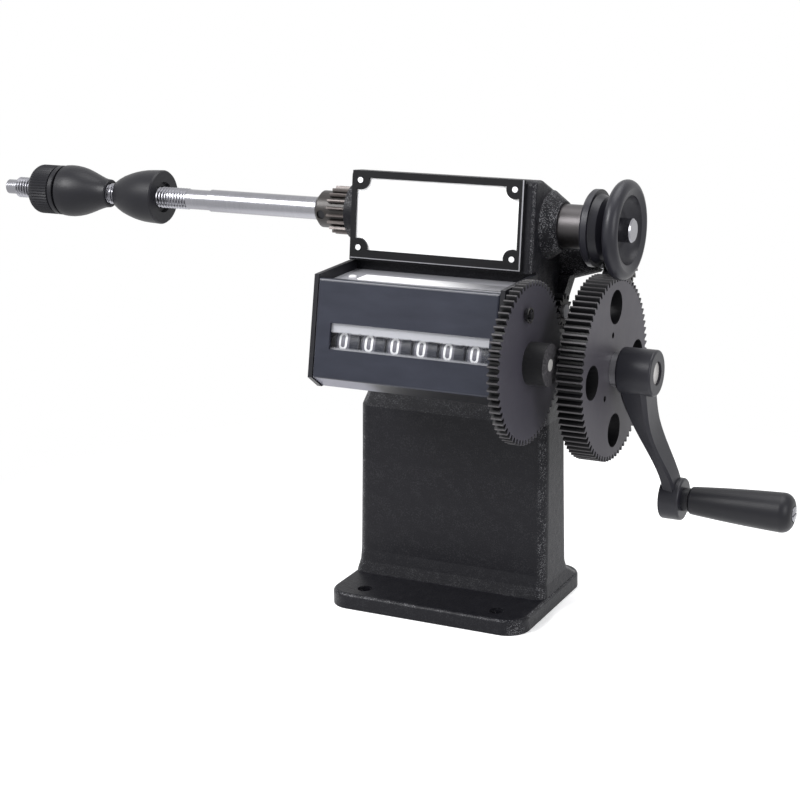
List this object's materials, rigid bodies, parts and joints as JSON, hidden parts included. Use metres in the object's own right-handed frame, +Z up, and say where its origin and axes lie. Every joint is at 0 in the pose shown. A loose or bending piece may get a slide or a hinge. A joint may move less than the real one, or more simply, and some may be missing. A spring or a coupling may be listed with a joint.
{
  "type": "wire coil winding machine",
  "caption": "Bench hand winder: a crank drives a long cone-clamping spindle through gears, with a geared turns counter below and a grooved pulley at the spindle's end.",
  "frame": {"origin": "centre of the four base holes, on the underside of the base", "axes": "+X along the spindle from its free end to the pulley, +Y away from the operator, +Z up"},
  "size_m": [0.3826, 0.1125, 0.1933],
  "materials": {
    "cast_paint": "coarse glossy black paint on cast iron",
    "label_white": "bare white label plate",
    "label_black": "satin black paint",
    "bright_steel": "turned bright steel",
    "brushed_collar": "turned grey steel",
    "dark_screw": "blackened steel",
    "ground_steel": "ground steel",
    "worn_steel": "oiled steel with worn teeth",
    "dark_gear": "matte dark grey finish",
    "dark_metal": "satin charcoal finish",
    "black_satin": "satin black",
    "counter_black": "smooth dark charcoal paint",
    "zinc": "bare zinc sheet",
    "clear_window": "clear plastic strip",
    "wheel_black": "moulded black plastic"
  },
  "bodies": {
    "stand": {"stand_casting": "cast_paint", "label_plate": "label_white", "label_frame": "label_black", "label_rivets": "bright_steel", "rear_cover": "cast_paint", "cover_screws": "dark_screw", "spindle_bush_left": "brushed_collar", "spindle_bush_right": "brushed_collar", "crank_bush_left": "brushed_collar", "crank_bush_right": "brushed_collar", "transfer_pin": "ground_steel", "counter_end_left": "counter_black", "counter_end_right": "counter_black", "counter_chassis": "zinc", "counter_panel": "counter_black", "counter_window": "clear_window", "counter_screws": "dark_screw", "carry_rod": "ground_steel", "carry_pinions": "wheel_black"},
    "spindle": {"spindle": "bright_steel", "outer_pinion": "worn_steel", "outer_pinion_screw": "bright_steel", "inner_pinion": "worn_steel", "pulley": "dark_metal", "pulley_screw": "bright_steel"},
    "outer_cone": {"outer_cone": "black_satin"},
    "inner_cone": {"inner_cone": "black_satin"},
    "knurled_nut": {"knurled_nut": "black_satin"},
    "idler": {"idler_shaft": "ground_steel", "idler_pinion": "worn_steel", "idler_gear": "worn_steel", "idler_transfer_gear": "worn_steel"},
    "transfer": {"transfer_gear": "worn_steel"},
    "counter_drive": {"counter_drive_shaft": "ground_steel", "counter_transfer_gear": "worn_steel", "counter_pinion": "worn_steel"},
    "crank": {"crank_shaft": "ground_steel", "crank_gear": "dark_gear", "crank_spacer": "dark_gear", "crank_washer": "ground_steel", "crank_arm": "dark_metal", "grip_pin": "bright_steel", "grip_collar": "ground_steel"},
    "grip": {"grip": "black_satin"},
    "counter": {"counter_shaft": "bright_steel", "counter_gear": "dark_gear", "gear_peg": "ground_steel", "reset_knob": "dark_metal", "number_wheel_1": "wheel_black"},
    "wheel_2": {"number_wheel_2": "wheel_black"},
    "wheel_3": {"number_wheel_3": "wheel_black"},
    "wheel_4": {"number_wheel_4": "wheel_black"},
    "wheel_5": {"number_wheel_5": "wheel_black"},
    "wheel_6": {"number_wheel_6": "wheel_black"}
  },
  "joints": [
    {"name": "crank_spin", "type": "hinge", "parent": "stand", "child": "crank", "pos_m": [0.03, -0.003, 0.113], "axis": [1, 0, 0], "continuous": true},
    {"name": "idler_spin", "type": "hinge", "parent": "stand", "child": "idler", "pos_m": [0.045, 0.01594, 0.15492], "axis": [1, 0, 0], "continuous": true},
    {"name": "spindle_spin", "type": "hinge", "parent": "stand", "child": "spindle", "pos_m": [0, -0.003, 0.172], "axis": [1, 0, 0], "continuous": true},
    {"name": "transfer_spin", "type": "hinge", "parent": "stand", "child": "transfer", "pos_m": [0.035, 0.00006, 0.1529], "axis": [1, 0, 0], "continuous": true},
    {"name": "counter_drive_spin", "type": "hinge", "parent": "stand", "child": "counter_drive", "pos_m": [0.04, -0.00532, 0.13625], "axis": [1, 0, 0], "continuous": true},
    {"name": "counter_spin", "type": "hinge", "parent": "stand", "child": "counter", "pos_m": [0.005, -0.042, 0.123], "axis": [1, 0, 0], "continuous": true},
    {"name": "grip_spin", "type": "hinge", "parent": "crank", "child": "grip", "pos_m": [0.125, 0.01718, 0.05269], "axis": [1, 0, 0], "continuous": true},
    {"name": "nut_slide", "type": "slide", "parent": "spindle", "child": "knurled_nut", "axis": [1, 0, 0], "range_m": [-0.0075, 0]},
    {"name": "outer_cone_slide", "type": "slide", "parent": "spindle", "child": "outer_cone", "axis": [1, 0, 0], "range_m": [0, 0.0035]},
    {"name": "inner_cone_slide", "type": "slide", "parent": "spindle", "child": "inner_cone", "axis": [1, 0, 0], "range_m": [0, 0.0115]},
    {"name": "wheel_2_spin", "type": "hinge", "parent": "stand", "child": "wheel_2", "pos_m": [0, -0.042, 0.123], "axis": [1, 0, 0], "continuous": true},
    {"name": "wheel_3_spin", "type": "hinge", "parent": "stand", "child": "wheel_3", "pos_m": [0, -0.042, 0.123], "axis": [1, 0, 0], "continuous": true},
    {"name": "wheel_4_spin", "type": "hinge", "parent": "stand", "child": "wheel_4", "pos_m": [0, -0.042, 0.123], "axis": [1, 0, 0], "continuous": true},
    {"name": "wheel_5_spin", "type": "hinge", "parent": "stand", "child": "wheel_5", "pos_m": [0, -0.042, 0.123], "axis": [1, 0, 0], "continuous": true},
    {"name": "wheel_6_spin", "type": "hinge", "parent": "stand", "child": "wheel_6", "pos_m": [0, -0.042, 0.123], "axis": [1, 0, 0], "continuous": true}
  ],
  "couplings": [
    {"joint": "idler_spin", "follows": "crank_spin", "ratio": -4.75},
    {"joint": "spindle_spin", "follows": "crank_spin", "ratio": 8},
    {"joint": "transfer_spin", "follows": "crank_spin", "ratio": 4.75},
    {"joint": "counter_drive_spin", "follows": "crank_spin", "ratio": -4},
    {"joint": "counter_spin", "follows": "crank_spin", "ratio": 0.8},
    {"joint": "wheel_2_spin", "follows": "crank_spin", "ratio": 0.08},
    {"joint": "wheel_3_spin", "follows": "crank_spin", "ratio": 0.008},
    {"joint": "wheel_4_spin", "follows": "crank_spin", "ratio": 0.0008},
    {"joint": "wheel_5_spin", "follows": "crank_spin", "ratio": 0.00008},
    {"joint": "wheel_6_spin", "follows": "crank_spin", "ratio": 0.000008}
  ]
}
